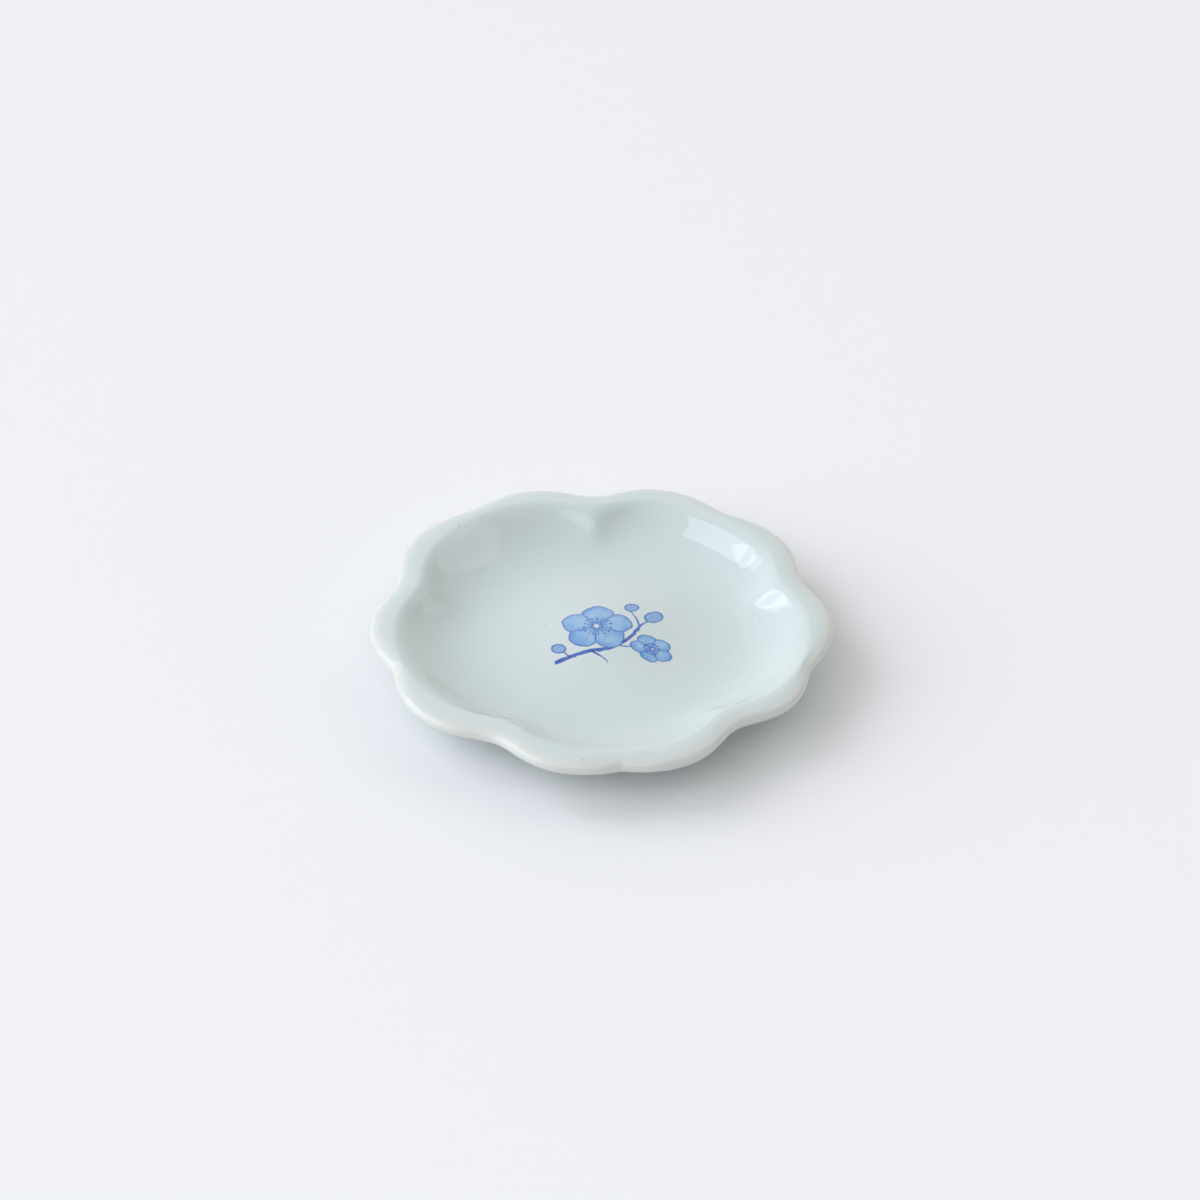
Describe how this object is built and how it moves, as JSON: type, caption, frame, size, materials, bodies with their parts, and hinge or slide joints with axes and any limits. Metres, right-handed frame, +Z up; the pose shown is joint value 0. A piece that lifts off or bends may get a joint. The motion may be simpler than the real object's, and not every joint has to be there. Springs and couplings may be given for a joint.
{
  "type": "sauce plate",
  "caption": "Small blossom-shaped porcelain sauce plate with a petalled lip, a shallow domed well, a foot ring and a pale blue-green gloss glaze.",
  "frame": {"origin": "on the dish's axis, on the plane that the foot ring stands on", "axes": "+Z up out of the well; one petal points along -Y"},
  "size_m": [0.0996, 0.097, 0.0136],
  "materials": {
    "porcelain": "fired white porcelain, covered by the glaze",
    "bare_clay": "bare fired porcelain, fine matt grain",
    "glaze": "smooth gloss glaze, pale blue-green, thinner and creamier on the lip"
  },
  "bodies": {
    "root": {"porcelain_body": "porcelain", "foot_ring": "bare_clay", "glaze_coat": "glaze", "base_glaze": "glaze"}
  },
  "joints": []
}
